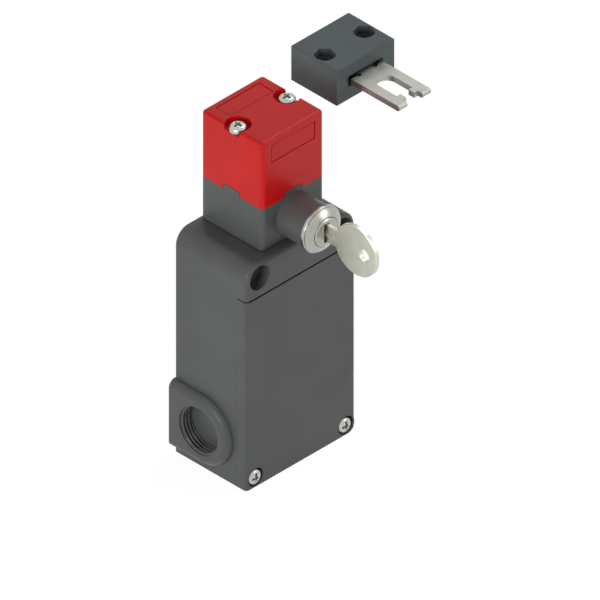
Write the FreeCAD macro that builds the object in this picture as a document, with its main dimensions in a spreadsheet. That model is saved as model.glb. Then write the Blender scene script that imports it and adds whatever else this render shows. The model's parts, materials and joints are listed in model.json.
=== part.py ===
"""Tongue interlock switch: three-entry body, two-part head with key lock, and its jointed actuator."""
import FreeCAD, Part
import Sketcher
import os
import re

# Driving dimensions in millimetres. Origin: centre of the bottom conduit entry; the cover faces -Y.
DIMENSIONS = {
    # body
    "body_width": 56, "body_front": -21.4, "body_rear": 15.35, "body_height": 98,
    "corner_radius": 6.5, "lip_round": 1.8, "rear_round": 1.0, "wall": 3.5, "floor_thick": 8.6,
    "pad_height": 25, "pad_relief": 0.25,
    "cover_thick": 4.9, "lip_height": 14.2, "cover_gap": 0.5, "cover_round": 1.5, "cover_skin": 2.2,
    "cover_margin": 3.3, "tab_reach": 2.5, "cover_tab_width": 30, "cover_tab_thick": 1.6,
    "cover_rib_place": 14, "cover_rib_thick": 1.2, "cover_rib_height": 1.5,
    "gasket_edge": 1.0, "gasket_width": 1.4, "gasket_depth": 1.0, "gasket_drop": 2,
    "cover_screw_edge": 4.9, "cover_screw_level": 3.85, "cover_sink": 4.2, "cover_sink_depth": 2.4,
    "screw_radius": 2.0, "screw_head": 3.4, "screw_head_height": 2.7, "cover_screw_length": 12,
    "mount_inset": 7, "mount_drop": 6.3, "mount_bore": 2.65, "mount_sink": 5.1, "mount_sink_depth": 5,
    # conduit entries
    "entry_level": 18, "thread_radius": 10, "side_thread_depth": 5.7, "bottom_thread_depth": 7.2,
    "knockout_radius": 8.5, "relief_depth": 0.4, "relief_outer": 9.4, "boss_radius": 14.9,
    "boss_stand": 3.3, "boss_foot": 4.7, "boss_round": 3.2,
    # head
    "head_half": 15.75, "head_setback": 4, "head_corner": 1.6, "head_top_round": 1.3,
    "gasket_sheet": 0.6, "gasket_inset": 0.5, "lower_head_height": 18.4, "upper_head_height": 29,
    "head_wall": 3, "head_room": 8.7, "tab_width": 8, "tab_height": 2, "tab_thick": 2,
    "head_screw_edge": 3.25, "head_screw_sink": 4.7, "head_screw_bite": 11, "head_sink": 4.0,
    # cam wheel
    "cam_rise": 13.4, "cam_radius": 11.6, "cam_width": 7, "cam_hub_radius": 7.4, "cam_hub_width": 13,
    "cam_room": 7.1, "cam_clear": 1.0, "tongue_offset": 9.1,
    "tooth_gap_radius": 3.2, "tooth_gap_place": 10.4, "tooth_gap_angle": 115, "top_gap_angle": 25,
    "drop_radius": 7.5, "drop_place": 13.5, "drop_angle": -58,
    "axle_radius": 2.5, "axle_clear": 0.7, "post_inner": 7.3, "post_half_width": 2.1,
    "passage_half": 8.7, "passage_half_height": 2.6,
    "plug_half": 11.2, "plug_half_height": 3.85, "plug_recess": 2.0, "plug_thick": 1.6,
    "plug_skirt": 5,
    # lock
    "lock_rise": 9.4, "lock_boss_radius": 8.8, "lock_boss_reach": 13.5, "lock_boss_round": 0.5,
    "lock_stand": 4, "bezel_radius": 9.6, "bezel_thick": 1.4, "bezel_round": 0.5, "bezel_ring": 8.8,
    "ring_round": 1.6, "ring_neck": 0.3, "barrel_radius": 7.4, "barrel_proud": 0.45,
    "plug_face_radius": 6.9, "plug_face_depth": 2.0, "plug_bevel": 0.4, "plug_radius": 5.6,
    "nut_radius": 8.3, "nut_thick": 2.2, "keyway_width": 2.2, "keyway_height": 8,
    "key_thick": 1.9, "key_blade": 7.4, "key_bow": 10.6, "key_bow_reach": 15.4, "key_hole": 2.6,
    "key_hole_reach": 19.8, "key_length": 18, "key_edge": 0.25, "key_mill": 0.45, "key_rib_low": -0.9,
    "key_rib_high": 0.3, "key_tip": 2.2, "bit_start": 3.4, "bit_pitch": 2.8, "bit_width": 2.0,
    "bit_depth": 0.8, "bit_step": 0.6,
    "lock_cam_radius": 5.5, "lock_cam_thick": 1.4, "lock_pin_radius": 1.2, "lock_pin_place": 2.5,
    "lock_pin_length": 2.9, "lock_pin_play": 0.55, "bolt_thick": 2.2, "bolt_arm_inner": 5.3,
    "bolt_arm_outer": 8.1, "bolt_arm_thick": 1.4, "bolt_gap": 0.3, "ledge_drop": 6.1,
    # plunger and contacts
    "plunger_radius": 2.5, "nose_gap": 0.5, "plunger_nose": 1.6, "plunger_travel": 4,
    "collar_radius": 5, "collar_drop": 6.5, "collar_thick": 2, "seal_radius": 5.5, "seal_thick": 2.5,
    "block_gap": 1, "block_depth": 18.8, "block_side_gap": 4.5,
    "chamber_floor": 3, "chamber_roof": 2, "chamber_back": 7.65, "chamber_wall": 1.1,
    "plate_thick": 1.6, "carrier_half": 2.8, "carrier_head": 0.55, "carrier_foot": 0.75,
    "spring_room": 5.8, "row_pitch": 9,
    "closed_rise": 3, "open_drop": 1.2, "bridge_half": 8, "bridge_width": 3, "bridge_thick": 0.6,
    "tip_radius": 1.2, "tip_thick": 0.7, "contact_gap": 0.05, "strip_thick": 0.8, "strip_end": 5.4,
    "terminal_edge": 0.6, "terminal_length": 7.3, "terminal_half": 3.5, "clamp_thick": 1.2,
    "barrier_thick": 1.2, "barrier_stand": 3,
    "terminal_screw": 1.5, "terminal_head": 2.8, "terminal_head_height": 2,
    "terminal_screw_length": 9, "block_screw_inset": 5, "block_screw_rise": 3.6,
    "block_screw_bite": 2.4, "spring_radius": 2.2, "spring_wire": 0.35, "spring_turns": 5,
    "earth_drop": 4.2, "earth_boss": 3.8, "earth_boss_length": 4, "saddle_half": 3.6,
    # actuator
    "act_gap": 6.9, "act_setback": 16.5, "act_lift": 0.15, "act_width": 29.5, "act_depth": 23.4,
    "act_height": 15.4, "act_hole_edge": 4.65, "act_hole_place": 10.75, "act_sink_radius": 3.9,
    "act_sink_hexagon": 4.05, "act_sink_depth": 3.5, "act_hole_radius": 2.2, "act_edge": 0.3,
    "mouth_half": 9, "mouth_low": 5.6, "mouth_high": 10.1, "act_wall": 3.5, "chamber_reach": 18.5,
    "act_room_half": 4.9, "act_room_high": 12.4, "base_thick": 1.8,
    "cradle_half": 4.2, "cradle_front": 6.5, "cradle_rear": 15.5, "cradle_half_height": 3.6,
    "pivot_place": 12.5, "pivot_bite": 1.5, "pivot_radius": 1.5, "tongue_half": 8.1, "tongue_thick": 2.4,
    "tongue_reach": 25.5, "tongue_neck_half": 3.1, "tongue_shoulder": 1.6,
    "window_half": 3.95, "window_start": 7, "hook_start": 20, "hook_end": 22.9, "hook_half": 2.05,
    "cross_pin_place": 8.6, "cross_pin_radius": 0.7, "neck_play": 0.6, "tongue_gap": 0.6,
    "relief_radius": 1.1, "tip_bevel": 0.7,
    # fits
    "fit": 0.05, "play": 0.2,
}

# Places and sizes that follow from the driving dimensions.
DERIVED = {
    "half_body": "body_width / 2",
    "split_plane": "body_front + cover_thick",
    "cover_height": "body_height - lip_height - cover_gap",
    "pad_low": "body_height - pad_height",
    "cavity_half": "half_body - wall",
    "cavity_rear": "body_rear - pad_relief - wall",
    "cavity_top": "cover_height - cover_margin",
    "tab_level": "cavity_top - play - cover_tab_thick",
    "gasket_low": "floor_thick - gasket_drop",
    "cover_screw_place": "half_body - cover_screw_edge",
    "mount_place": "half_body - mount_inset",
    "mount_level": "body_height - mount_drop",
    "head_middle": "body_front + head_setback + head_half",
    "head_front": "head_middle - head_half",
    "head_rear": "head_middle + head_half",
    "head_low": "body_height + gasket_sheet",
    "head_joint": "head_low + lower_head_height",
    "head_top": "head_joint + upper_head_height",
    "head_screw_place": "head_half - head_screw_edge",
    "axle_half": "head_screw_place - screw_radius - axle_clear",
    "head_screw_seat": "head_top - head_screw_sink",
    "head_screw_end": "body_height - head_screw_bite",
    "cam_level": "head_joint + cam_rise",
    "cam_room_reach": "cam_radius + cam_clear",
    "cam_room_top": "cam_level + cam_radius + cam_clear",
    "passage_level": "cam_level + tongue_offset",
    "passage_place": "head_middle + tongue_offset",
    "lock_level": "head_low + lock_rise",
    "lock_boss_front": "head_front - lock_boss_reach",
    "lock_face": "lock_boss_front - lock_stand",
    "flange_front": "lock_boss_front - bezel_thick",
    "barrel_end": "head_front + head_wall + nut_thick + barrel_proud",
    "lock_tail": "barrel_end + play",
    "bolt_front": "lock_tail + lock_cam_thick + play",
    "ledge_level": "lock_level - ledge_drop",
    "collar_level": "lock_level - collar_drop",
    "bolt_arm_level": "collar_level + collar_thick + bolt_gap",
    "plunger_top": "cam_level - cam_radius - nose_gap",
    "block_top": "cavity_top - block_gap",
    "block_front": "cavity_rear - block_depth",
    "block_half": "cavity_half - block_side_gap",
    "block_screw_place": "block_half - block_screw_inset",
    "block_screw_level": "block_low + block_screw_rise",
    "terminal_outer": "block_half - terminal_edge",
    "terminal_inner": "terminal_outer - terminal_length",
    "chamber_half": "terminal_inner - chamber_wall",
    "chamber_top": "block_top - chamber_roof",
    "chamber_rear": "head_middle + chamber_back",
    "contact_stack": "strip_thick / 2 + 2 * tip_thick + contact_gap",
    "carrier_top": "chamber_top - plunger_travel - play",
    "row_last": "carrier_top - carrier_head - bridge_thick - contact_stack + open_drop",
    "row_first": "row_last - 3 * row_pitch",
    "carrier_low": "row_first + closed_rise - contact_stack - plunger_travel - bridge_thick - carrier_foot",
    "chamber_low": "carrier_low - spring_room",
    "block_low": "chamber_low - chamber_floor",
    "earth_level": "block_low - earth_drop",
    "act_left": "half_body + act_gap",
    "act_front": "body_front + act_setback",
    "act_middle": "act_left + act_width / 2",
    "act_low": "passage_level + act_lift - (mouth_low + mouth_high) / 2",
    "act_hole_offset": "act_width / 2 - act_hole_edge",
    "tongue_level": "act_low + (mouth_low + mouth_high) / 2",
}

doc = FreeCAD.newDocument("tongue_interlock_switch")
sheet = doc.addObject("Spreadsheet::Sheet", "Dims")
for row, (alias, value) in enumerate(DIMENSIONS.items(), 1):
    sheet.set(f"A{row}", alias)
    sheet.set(f"B{row}", str(value))
    sheet.setAlias(f"B{row}", alias)
doc.recompute()

TURN = {
    "x": FreeCAD.Rotation(FreeCAD.Vector(0, 1, 0), 90),
    "y": FreeCAD.Rotation(FreeCAD.Vector(1, 0, 0), -90),
    "z": FreeCAD.Rotation(),
}
# A profile's first coordinate runs along the named axis.
ALONG = {
    "x": FreeCAD.Rotation(),
    "y": FreeCAD.Rotation(FreeCAD.Vector(1, 1, 1), 120),
    "z": FreeCAD.Rotation(FreeCAD.Vector(1, 1, 1), 240),
}
HEX_TURN = FreeCAD.Rotation(FreeCAD.Vector(0, 0, 1), 30)
TINY = 1e-4
PIVOT = ("act_middle", "act_front + pivot_place")
CROSS = ("act_front + cross_pin_place", "tongue_level")


def formula(text):
    """Turn the names in text into references to the sheet's cells."""
    return re.sub(r"[a-z][a-z0-9_]*", lambda word: cell(word.group()), str(text))


def cell(word):
    if word in DERIVED:
        return f"({formula(DERIVED[word])})"
    return "Dims." + word if word in DIMENSIONS else word


def size(text):
    """The present number of an expression."""
    return float(sheet.evalExpression(formula(text)))


def bind(item, **sizes):
    for name, text in sizes.items():
        item.setExpression(name, formula(text))
    return item


def place(item, x, y, z):
    for axis, text in (("x", x), ("y", y), ("z", z)):
        item.setExpression("Placement.Base." + axis, formula(text))
    return item


def new(home, sign, kind):
    """A Part primitive on its own, or one that adds to (+) or cuts from (-) the body home."""
    if home is None:
        return doc.addObject("Part::" + kind, kind)
    family = "Additive" if sign == "+" else "Subtractive"
    return home.newObject("PartDesign::" + family + kind, kind)


def box(home, sign, x, y, z):
    """A box between a low and a high limit on each axis."""
    item = new(home, sign, "Box")
    for name, (low, high) in (("Length", x), ("Width", y), ("Height", z)):
        item.setExpression(name, formula(f"({high}) - ({low})"))
    return place(item, x[0], y[0], z[0])


def rod(home, sign, axis, span, centre, radius):
    """A cylinder along axis between the limits in span; centre holds the other two coordinates."""
    item = new(home, sign, "Cylinder")
    item.Placement = FreeCAD.Placement(FreeCAD.Vector(), TURN[axis])
    bind(item, Radius=radius, Height=f"({span[1]}) - ({span[0]})")
    corner = {"x": (span[0], *centre), "y": (centre[0], span[0], centre[1]), "z": (*centre, span[0])}
    return place(item, *corner[axis])


def cone(home, sign, axis, span, centre, low_radius, high_radius):
    item = new(home, sign, "Cone")
    item.Placement = FreeCAD.Placement(FreeCAD.Vector(), TURN[axis])
    bind(item, Radius1=low_radius, Radius2=high_radius, Height=f"({span[1]}) - ({span[0]})")
    corner = {"x": (span[0], *centre), "y": (centre[0], span[0], centre[1]), "z": (*centre, span[0])}
    return place(item, *corner[axis])


def hexagon(home, sign, span, centre, radius):
    """A six-sided prism along Z with radius to its corners."""
    item = new(home, sign, "Prism")
    item.Placement = FreeCAD.Placement(FreeCAD.Vector(), HEX_TURN)
    item.Polygon = 6
    bind(item, Circumradius=radius, Height=f"({span[1]}) - ({span[0]})")
    return place(item, *centre, span[0])


def body(name):
    return doc.addObject("PartDesign::Body", name)


def profile(home, axis, centre, corners):
    """A closed sketch whose corners are given as distances along the axis and away from it."""
    item = home.newObject("Sketcher::SketchObject", "Profile")
    plane = next(part for part in home.Origin.OriginFeatures if part.Role == "XY_Plane")
    item.AttachmentSupport = [(plane, "")]
    item.MapMode = "FlatFace"
    item.AttachmentOffset = FreeCAD.Placement(FreeCAD.Vector(), ALONG[axis])
    for letter, text in zip("xyz", centre):
        item.setExpression("AttachmentOffset.Base." + letter, formula(text))
    points = [FreeCAD.Vector(size(along), size(away), 0) for along, away in corners]
    for start, end in zip(points, points[1:] + points[:1]):
        item.addGeometry(Part.LineSegment(start, end), False)
    for number, (along, away) in enumerate(corners):
        before = (number - 1) % len(corners)
        item.addConstraint(Sketcher.Constraint("Coincident", before, 2, number, 1))
        for kind, text in (("DistanceX", along), ("DistanceY", away)):
            rule = item.addConstraint(Sketcher.Constraint(kind, -1, 1, number, 1, size(text)))
            item.setExpression(f"Constraints[{rule}]", formula(text))
    return item


def turned(home, axis, centre, corners):
    """A lathe form: the profile revolved once about its own axis."""
    outline = profile(home, axis, centre, corners)
    item = home.newObject("PartDesign::Revolution", "Revolution")
    item.Profile = outline
    item.ReferenceAxis = (outline, ["H_Axis"])
    item.Angle = 360
    return item


def padded(home, axis, centre, corners, thick):
    """A flat form: the profile raised to a thickness."""
    item = home.newObject("PartDesign::Pad", "Pad")
    item.Profile = profile(home, axis, centre, corners)
    return bind(item, Length=thick)


def soften(home, radius, chosen, kind="Fillet"):
    """Fillet or chamfer those edges of the body's newest feature whose bounding box passes chosen."""
    doc.recompute()
    base = home.Tip
    names = [f"Edge{n}" for n, edge in enumerate(base.Shape.Edges, 1) if chosen(edge.BoundBox)]
    item = home.newObject("PartDesign::" + kind, kind)
    item.Base = (base, names)
    bind(item, **{"Radius" if kind == "Fillet" else "Size": radius})


def joined(*items):
    item = doc.addObject("Part::MultiFuse", "Fuse")
    item.Shapes = list(items)
    return item


def minus(base, *tools):
    item = doc.addObject("Part::Cut", "Cut")
    item.Base = base
    item.Tool = tools[0] if len(tools) == 1 else joined(*tools)
    return item


def group(*items):
    """Separate solids of one kind that share a node."""
    item = doc.addObject("Part::Compound", "Group")
    item.Links = list(items)
    return item


def near(first, second):
    return abs(first - second) < TINY


def upright(edge):
    return edge.XLength < TINY and edge.YLength < TINY and edge.ZLength > TINY


def sides(text):
    """The same length to the left and to the right."""
    return f"-({text})", f"{text}"


def around(middle, half):
    return f"{middle} - ({half})", f"{middle} + ({half})"


# ---------------------------------------------------------------- body and cover

def housing():
    """Casting: deep shell below, solid top block with the mounting holes, three conduit entries."""
    home = body("Housing")
    lip_low = "cover_height + cover_gap"
    padded(home, "y", ("-half_body", "0", "0"),
           (("split_plane", "0"), ("body_rear", "0"), ("body_rear", "body_height"),
            ("body_front", "body_height"), ("body_front", lip_low), ("split_plane", lip_low)), "body_width")
    side, top, front, rear = size("half_body"), size("body_height"), size("body_front"), size("body_rear")
    soften(home, "corner_radius", lambda e: e.YLength > TINY and near(e.ZMin, top) and near(abs(e.XMin), side)
           and near(e.XMin, e.XMax))
    lip = size(lip_low) + TINY
    soften(home, "lip_round", lambda e: near(e.YMin, front) and near(e.YMax, front) and e.ZMax > lip)
    soften(home, "rear_round", lambda e: near(e.YMin, rear) and near(e.YMax, rear) and e.ZMax > TINY)
    for side in (-1, 1):
        conduit_boss(home, side)
    box(home, "-", sides("half_body + boss_stand"), ("body_rear - pad_relief", "body_rear"), ("0", "pad_low"))
    box(home, "-", sides("cavity_half"), ("split_plane", "cavity_rear"), ("floor_thick", "cavity_top"))
    for side in (-1, 1):
        side_entry(home, side)
    rod(home, "-", "z", ("0", "bottom_thread_depth"), ("0", "0"), "thread_radius")
    for side in (-1, 1):
        mount = (f"{side} * mount_place", "mount_level")
        rod(home, "-", "y", ("body_front", "body_rear"), mount, "mount_bore")
        rod(home, "-", "y", ("body_front", "body_front + mount_sink_depth"), mount, "mount_sink")
        rod(home, "-", "z", ("head_screw_end", "body_height"), (f"{side} * head_screw_place", "head_middle"),
            "screw_radius + fit")
        rod(home, "-", "y", ("split_plane", "body_front + cover_sink_depth + cover_screw_length + play"),
            (f"{side} * cover_screw_place", "cover_screw_level"), "screw_radius + fit")
        rod(home, "-", "y", ("cavity_rear", "cavity_rear + block_screw_bite + play"),
            (f"{side} * block_screw_place", "block_screw_level"), "terminal_screw + fit")
    rod(home, "-", "z", ("cavity_top", "body_height"), ("0", "head_middle"), "plunger_radius + fit")
    rod(home, "-", "z", ("body_height - seal_thick", "body_height"), ("0", "head_middle"), "seal_radius")
    earth = ("0", "earth_level")
    rod(home, "+", "y", ("cavity_rear - earth_boss_length", "cavity_rear"), earth, "earth_boss")
    rod(home, "-", "y", ("cavity_rear - earth_boss_length", "cavity_rear"), earth, "screw_radius + fit")
    return home


def conduit_boss(home, side):
    """Round pad around a side entry, drawn out to the rear face and cut flat at its foot."""
    outer = "half_body + boss_stand"
    span = ("half_body", outer) if side > 0 else (f"-({outer})", "-half_body")
    rod(home, "+", "x", span, ("0", "entry_level"), "boss_radius")
    box(home, "+", span, ("0", "body_rear"), around("entry_level", "boss_radius"))
    reach = side * size(outer)
    soften(home, "boss_round",
           lambda e: near(e.XMin, reach) and near(e.XMax, reach) and e.YMin < size("body_rear") - TINY)
    box(home, "-", span, ("body_front", "body_rear"), ("0", "boss_foot"))


def side_entry(home, side):
    """Threaded mouth closed by a knock-out disc with a relief ring round it."""
    mouth = "half_body + boss_stand"
    seat = f"{mouth} - side_thread_depth"
    deep = f"{seat} - relief_depth"
    steps = (("-", seat, mouth, "thread_radius"), ("-", deep, seat, "relief_outer"),
             ("+", deep, seat, "knockout_radius"))
    for sign, low, high, radius in steps:
        span = (low, high) if side > 0 else (f"-({high})", f"-({low})")
        rod(home, sign, "x", span, ("0", "entry_level"), radius)


def cover():
    """Front cover: a ribbed tray with sunk screw seats and a locating tab along its top."""
    home = body("Cover")
    box(home, "+", sides("half_body"), ("body_front", "split_plane"), ("0", "cover_height"))
    front = size("body_front")
    soften(home, "cover_round", lambda e: upright(e) and near(e.YMin, front))
    inner = "half_body - gasket_edge - gasket_width"
    box(home, "-", sides("half_body - gasket_edge"), ("split_plane - gasket_depth", "split_plane"),
        ("gasket_low", "cover_height - gasket_edge"))
    box(home, "+", sides(inner), ("split_plane - gasket_depth", "split_plane"),
        ("gasket_low + gasket_width", "cover_height - gasket_edge - gasket_width"))
    inside = "body_front + cover_skin"
    box(home, "-", sides("cavity_half"), (inside, "split_plane"), ("floor_thick", "tab_level"))
    box(home, "+", sides("cover_tab_width / 2"), ("split_plane - tab_reach", "split_plane + tab_reach"),
        ("tab_level", "cavity_top - play"))
    for side in (-1, 1):
        rib = f"{side} * cover_rib_place"
        box(home, "+", around(rib, "cover_rib_thick / 2"), (inside, f"{inside} + cover_rib_height"),
            ("floor_thick", "tab_level"))
        at = (f"{side} * cover_screw_place", "cover_screw_level")
        rod(home, "-", "y", ("body_front", "body_front + cover_sink_depth"), at, "cover_sink")
        rod(home, "-", "y", ("body_front", "split_plane"), at, "screw_radius + play")
    return home


def cover_gasket():
    """Square-section ring that fills the cover's groove."""
    depth = ("split_plane - gasket_depth", "split_plane")
    top = "cover_height - gasket_edge"
    outer = box(None, "+", sides("half_body - gasket_edge"), depth, ("gasket_low", top))
    inner = box(None, "+", sides("half_body - gasket_edge - gasket_width"), depth,
                ("gasket_low + gasket_width", f"{top} - gasket_width"))
    return minus(outer, inner)


def cover_screws():
    screws = []
    for side in (-1, 1):
        at = (f"{side} * cover_screw_place", "cover_screw_level")
        seat = "body_front + cover_sink_depth"
        head = rod(None, "+", "y", (f"{seat} - screw_head_height", seat), at, "screw_head")
        shank = rod(None, "+", "y", (seat, f"{seat} + cover_screw_length"), at, "screw_radius")
        screws.append(joined(head, shank))
    return group(*screws)


def earth_saddle():
    """Square wire saddle under the earth screw."""
    face = "cavity_rear - earth_boss_length"
    plate = box(None, "+", sides("saddle_half"), (f"{face} - clamp_thick", face),
                around("earth_level", "saddle_half"))
    bore = rod(None, "-", "y", (f"{face} - clamp_thick", face), ("0", "earth_level"), "screw_radius + play")
    return minus(plate, bore)


def earth_screw():
    face = "cavity_rear - earth_boss_length - clamp_thick"
    at = ("0", "earth_level")
    head = rod(None, "+", "y", (f"{face} - screw_head_height", face), at, "screw_head")
    shank = rod(None, "+", "y", (face, "cavity_rear"), at, "screw_radius")
    return joined(head, shank)


# ---------------------------------------------------------------- head

def head_gasket():
    """Thin sheet between body and head, open in the middle."""
    low, high = "body_height", "head_low"
    half = "head_half - gasket_inset"
    sheet_box = box(None, "+", sides(half), around("head_middle", half), (low, high))
    opening = box(None, "+", sides("head_room"), around("head_middle", "head_room"), (low, high))
    places = [(f"{side} * head_screw_place", "head_middle") for side in (-1, 1)]
    bores = [rod(None, "+", "z", (low, high), at, "screw_radius + play") for at in places]
    return minus(sheet_box, opening, *bores)


def head_outline(home, z):
    """Square block with rounded upright edges."""
    box(home, "+", sides("head_half"), ("head_front", "head_rear"), z)
    soften(home, "head_corner", upright)


def tabs(home, sign, extra):
    """The four centring tabs on the joint of the head, or the notches that take them."""
    high = ("head_joint", f"head_joint + tab_height + {extra}")
    half = f"tab_width / 2 + {extra}"
    deep = f"tab_thick + {extra}"
    for low, top in (("-head_half", f"-head_half + {deep}"), (f"head_half - ({deep})", "head_half")):
        box(home, sign, (low, top), around("head_middle", half), high)
    for low, top in (("head_front", f"head_front + {deep}"), (f"head_rear - ({deep})", "head_rear")):
        box(home, sign, sides(half), (low, top), high)


def lower_head():
    """Carries the lock in its front boss, guides the bolt, and holds up the cam's axle on two posts."""
    home = body("LowerHead")
    head_outline(home, ("head_low", "head_joint"))
    tabs(home, "+", "0")
    boss = ("lock_boss_front", "head_front")
    rod(home, "+", "y", boss, ("0", "lock_level"), "lock_boss_radius")
    front = size("lock_boss_front")
    soften(home, "lock_boss_round", lambda e: near(e.YMin, front) and near(e.YMax, front))
    inside = ("head_front + head_wall", "head_rear - head_wall")
    box(home, "-", sides("head_room"), inside, ("head_low", "head_joint + play"))
    rod(home, "-", "y", ("lock_boss_front", inside[0]), ("0", "lock_level"), "barrel_radius + fit")
    for side in (-1, 1):
        near_side = "post_inner" if side > 0 else "-axle_half"
        far_side = "axle_half" if side > 0 else "-post_inner"
        foot = ("post_inner", "head_room + play") if side > 0 else ("-head_room - play", "-post_inner")
        box(home, "+", foot, around("head_middle", "post_half_width"),
            ("head_joint - head_wall", "head_joint"))
        box(home, "+", (near_side, far_side), around("head_middle", "post_half_width"),
            ("head_joint - head_wall", "cam_level - axle_radius - fit"))
        at = (f"{side} * head_screw_place", "head_middle")
        rod(home, "-", "z", ("head_low", "head_joint + tab_height"), at, "screw_radius + play")
    ledge = ("bolt_front - play", "bolt_front + bolt_thick + play")
    box(home, "+", sides("head_room + play"), ledge, ("head_low", "ledge_level"))
    return home


def upper_head():
    """Red turret: room for the cam wheel, a passage and a plug recess for each tongue slot."""
    home = body("UpperHead")
    head_outline(home, ("head_joint", "head_top"))
    top = size("head_top")
    soften(home, "head_top_round", lambda e: near(e.ZMin, top) and near(e.ZMax, top))
    tabs(home, "-", "play")
    box(home, "-", sides("cam_room"), around("head_middle", "cam_room_reach"), ("head_joint", "cam_room_top"))
    axle = sides("axle_half + fit")
    box(home, "-", axle, around("head_middle", "axle_radius + fit"), ("head_joint", "cam_level"))
    rod(home, "-", "x", axle, ("head_middle", "cam_level"), "axle_radius + fit")
    box(home, "-", sides("passage_half"), ("head_front", "passage_place"),
        around("passage_level", "passage_half_height"))
    box(home, "-", sides("passage_half"), around("passage_place", "passage_half_height"),
        ("passage_level - 2 * tongue_offset", "head_top"))
    box(home, "-", sides("plug_half"), ("head_front", "head_front + plug_recess"),
        around("passage_level", "plug_half_height"))
    box(home, "-", sides("plug_half"), around("passage_place", "plug_half_height"),
        ("head_top - plug_recess", "head_top"))
    for side in (-1, 1):
        at = (f"{side} * head_screw_place", "head_middle")
        rod(home, "-", "z", ("head_screw_seat", "head_top"), at, "head_sink")
        rod(home, "-", "z", ("head_joint", "head_top"), at, "screw_radius + play")
    return home


def head_screws():
    """Two long screws that clamp both head parts to the body."""
    screws = []
    for side in (-1, 1):
        at = (f"{side} * head_screw_place", "head_middle")
        head_span = ("head_screw_seat", "head_screw_seat + screw_head_height")
        head = rod(None, "+", "z", head_span, at, "screw_head")
        shank = rod(None, "+", "z", ("head_screw_end + play", "head_screw_seat"), at, "screw_radius")
        screws.append(joined(head, shank))
    return group(*screws)


def cam_wheel():
    """Toothed disc between two hubs; the drop in its rim lets the plunger rise when a tongue turns it."""
    home = body("CamWheel")
    axis = ("head_middle", "cam_level")
    rod(home, "+", "x", sides("cam_width / 2"), axis, "cam_radius")
    rod(home, "+", "x", sides("cam_hub_width / 2"), axis, "cam_hub_radius")
    rod(home, "-", "x", sides("cam_hub_width / 2"), axis, "axle_radius + fit")
    for angle, reach, radius in (("tooth_gap_angle", "tooth_gap_place", "tooth_gap_radius"),
                                 ("top_gap_angle", "tooth_gap_place", "tooth_gap_radius"),
                                 ("drop_angle", "drop_place", "drop_radius")):
        middle = (f"head_middle + {reach} * cos({angle} * 1 deg)",
                  f"cam_level + {reach} * sin({angle} * 1 deg)")
        rod(home, "-", "x", sides("cam_hub_width / 2"), middle, radius)
    return home


def cam_axle():
    return rod(None, "+", "x", sides("axle_half"), ("head_middle", "cam_level"), "axle_radius")


def front_slot_plug():
    """Flush cap over the front tongue slot with a skirt that grips the passage."""
    face = "head_front + plug_recess - plug_thick"
    cap = box(None, "+", sides("plug_half - play"), (face, "head_front + plug_recess"),
              around("passage_level", "plug_half_height - play"))
    skirt = box(None, "+", sides("passage_half - play"), ("head_front + plug_recess", f"{face} + plug_skirt"),
                around("passage_level", "passage_half_height - play"))
    hollow = box(None, "+", sides("passage_half - play - plug_thick"),
                 ("head_front + plug_recess", f"{face} + plug_skirt"),
                 around("passage_level", "passage_half_height - play - plug_thick / 2"))
    return minus(joined(cap, skirt), hollow)


def top_slot_plug():
    """Flush cap over the top tongue slot with a skirt that grips the passage."""
    face = "head_top - plug_recess + plug_thick"
    seat = "head_top - plug_recess"
    cap = box(None, "+", sides("plug_half - play"), around("passage_place", "plug_half_height - play"),
              (seat, face))
    skirt = box(None, "+", sides("passage_half - play"),
                around("passage_place", "passage_half_height - play"), (f"{face} - plug_skirt", seat))
    hollow = box(None, "+", sides("passage_half - play - plug_thick"),
                 around("passage_place", "passage_half_height - play - plug_thick / 2"),
                 (f"{face} - plug_skirt", seat))
    return minus(joined(cap, skirt), hollow)


# ---------------------------------------------------------------- lock and key

def lock_barrel():
    """Bright bezel: rounded flange, a domed ring in front of it, and the tube through the boss."""
    home = body("Barrel")
    turned(home, "y", ("0", "0", "lock_level"),
           (("lock_face", "plug_face_radius + fit"), ("lock_face", "bezel_ring"),
            ("flange_front - ring_neck", "bezel_ring"), ("flange_front", "bezel_ring - ring_neck"),
            ("flange_front", "bezel_radius"), ("lock_boss_front", "bezel_radius"),
            ("lock_boss_front", "barrel_radius"), ("barrel_end", "barrel_radius"),
            ("barrel_end", "plug_radius + fit"), ("lock_face + plug_face_depth", "plug_radius + fit"),
            ("lock_face + plug_face_depth", "plug_face_radius + fit")))
    front, flange = size("lock_face"), size("flange_front")
    ring, rim = size("bezel_ring"), size("bezel_radius")
    soften(home, "ring_round",
           lambda e: near(e.YMin, front) and near(e.YMax, front) and near(e.XMax, ring))
    soften(home, "bezel_round",
           lambda e: near(e.YMin, e.YMax) and near(e.XMax, rim) and e.YMin > flange - TINY)
    return home


def lock_plug():
    """Turning core: bevelled face, long shank and a keyway along it."""
    home = body("Plug")
    seat = "lock_face + plug_face_depth - fit"
    turned(home, "y", ("0", "0", "lock_level"),
           (("lock_face", "0"), ("lock_face", "plug_face_radius - plug_bevel"),
            ("lock_face + plug_bevel", "plug_face_radius"), (seat, "plug_face_radius"), (seat, "plug_radius"),
            ("lock_tail", "plug_radius"), ("lock_tail", "0")))
    box(home, "-", sides("keyway_width / 2"), ("lock_face", "lock_face + key_length + play"),
        around("lock_level", "keyway_height / 2"))
    return home


def lock_nut():
    """Ring nut that holds the barrel from inside the head."""
    axis = ("0", "lock_level")
    span = ("head_front + head_wall", "head_front + head_wall + nut_thick")
    ring = rod(None, "+", "y", span, axis, "nut_radius")
    return minus(ring, rod(None, "+", "y", span, axis, "barrel_radius"))


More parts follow.
